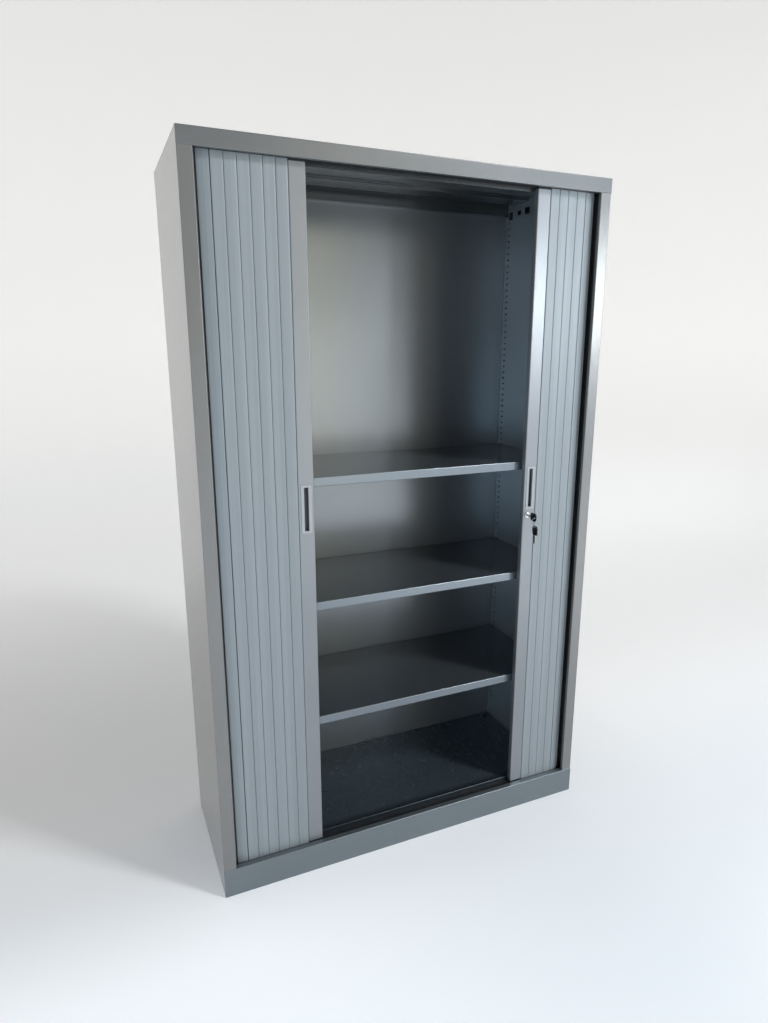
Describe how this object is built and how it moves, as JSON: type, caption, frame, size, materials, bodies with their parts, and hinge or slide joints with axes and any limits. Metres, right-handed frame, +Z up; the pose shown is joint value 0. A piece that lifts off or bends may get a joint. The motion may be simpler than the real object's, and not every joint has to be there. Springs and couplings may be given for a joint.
{
  "type": "roll-front cabinet",
  "caption": "Tall steel cupboard whose ribbed roll fronts slide sideways into the body, with adjustable shelves, flush pulls, a hook lock and keys.",
  "frame": {"origin": "on the ground, in the middle of the plinth's footprint", "axes": "+X to the right seen from the front, +Y from front to back, +Z up"},
  "size_m": [1.2, 0.4855, 1.98],
  "materials": {
    "outer_paint": "satin silver-grey powder coat",
    "inner_paint": "satin grey powder coat",
    "black_plastic": "moulded and extruded, semi-matte",
    "slat_plastic": "extruded, satin, fine lengthwise lines",
    "lead_rail_metal": "satin silver coat",
    "pull_plastic": "satin moulded",
    "zinc_steel": "bright zinc plated",
    "lock_chrome": "polished",
    "key_metal": "nickel plated",
    "key_plastic": "moulded, smooth",
    "rubber": "matte"
  },
  "bodies": {
    "carcass": {"side_panel_left": "outer_paint", "side_panel_right": "outer_paint", "top_panel": "outer_paint", "header_rail": "inner_paint", "top_stiffener": "inner_paint", "back_panel": "inner_paint", "plinth_frame": "outer_paint", "base_pan": "inner_paint", "floor_panel": "inner_paint", "liner_left": "inner_paint", "liner_right": "inner_paint", "liner_screws": "zinc_steel", "back_rivets": "zinc_steel", "bottom_track_front": "black_plastic", "bottom_track_left": "black_plastic", "bottom_track_right": "black_plastic", "top_track_front": "black_plastic", "top_track_left": "black_plastic", "top_track_right": "black_plastic", "top_track_carrier": "inner_paint", "bottom_track_screws": "zinc_steel", "top_track_screws": "zinc_steel", "pocket_stops": "rubber", "shelf_top": "inner_paint", "shelf_middle": "inner_paint", "shelf_bottom": "inner_paint", "shelf_clips": "zinc_steel", "leveller_brackets": "zinc_steel", "leveller_nuts": "zinc_steel", "leveller_screws": "zinc_steel", "foot_pads": "rubber", "pocket_slats_left": "slat_plastic", "pocket_slats_right": "slat_plastic"},
    "door_left": {"slats_left": "slat_plastic", "lead_rail_left": "lead_rail_metal", "lead_glides_left": "black_plastic", "flush_pull_left": "pull_plastic", "lock_strike": "zinc_steel", "strike_screws": "zinc_steel"},
    "door_right": {"slats_right": "slat_plastic", "lead_rail_right": "lead_rail_metal", "lead_glides_right": "black_plastic", "flush_pull_right": "pull_plastic", "lock_body": "lock_chrome", "lock_nut": "zinc_steel"},
    "lock_plug": {"lock_plug": "lock_chrome", "lock_hook": "zinc_steel", "hook_screw": "zinc_steel", "key_blade": "key_metal", "key_head": "key_plastic"},
    "key_ring": {"key_ring": "key_metal"},
    "spare_key": {"spare_key_blade": "key_metal", "spare_key_head": "key_plastic"}
  },
  "joints": [
    {"name": "left_front_slide", "type": "slide", "parent": "carcass", "child": "door_left", "axis": [1, 0, 0], "range_m": [0, 0.3025], "deforming": ["pocket_slats_left"]},
    {"name": "right_front_slide", "type": "slide", "parent": "carcass", "child": "door_right", "axis": [-1, 0, 0], "range_m": [0, 0.3625], "deforming": ["pocket_slats_right"]},
    {"name": "lock_turn", "type": "hinge", "parent": "door_right", "child": "lock_plug", "pos_m": [0.3785, -0.205, 1.0135], "axis": [0, 1, 0], "range_deg": [0, 90]},
    {"name": "key_ring_lean", "type": "hinge", "parent": "door_right", "child": "key_ring", "pos_m": [0.3785, -0.248, 1.0135], "axis": [0, 1, 0], "range_deg": [0, 45]},
    {"name": "spare_key_swing", "type": "hinge", "parent": "key_ring", "child": "spare_key", "pos_m": [0.3785, -0.248, 0.9851], "axis": [1, 0, 0], "range_deg": [-85, 35]}
  ],
  "couplings": [
    {"joint": "key_ring_lean", "follows": "lock_turn", "ratio": 0.5}
  ]
}
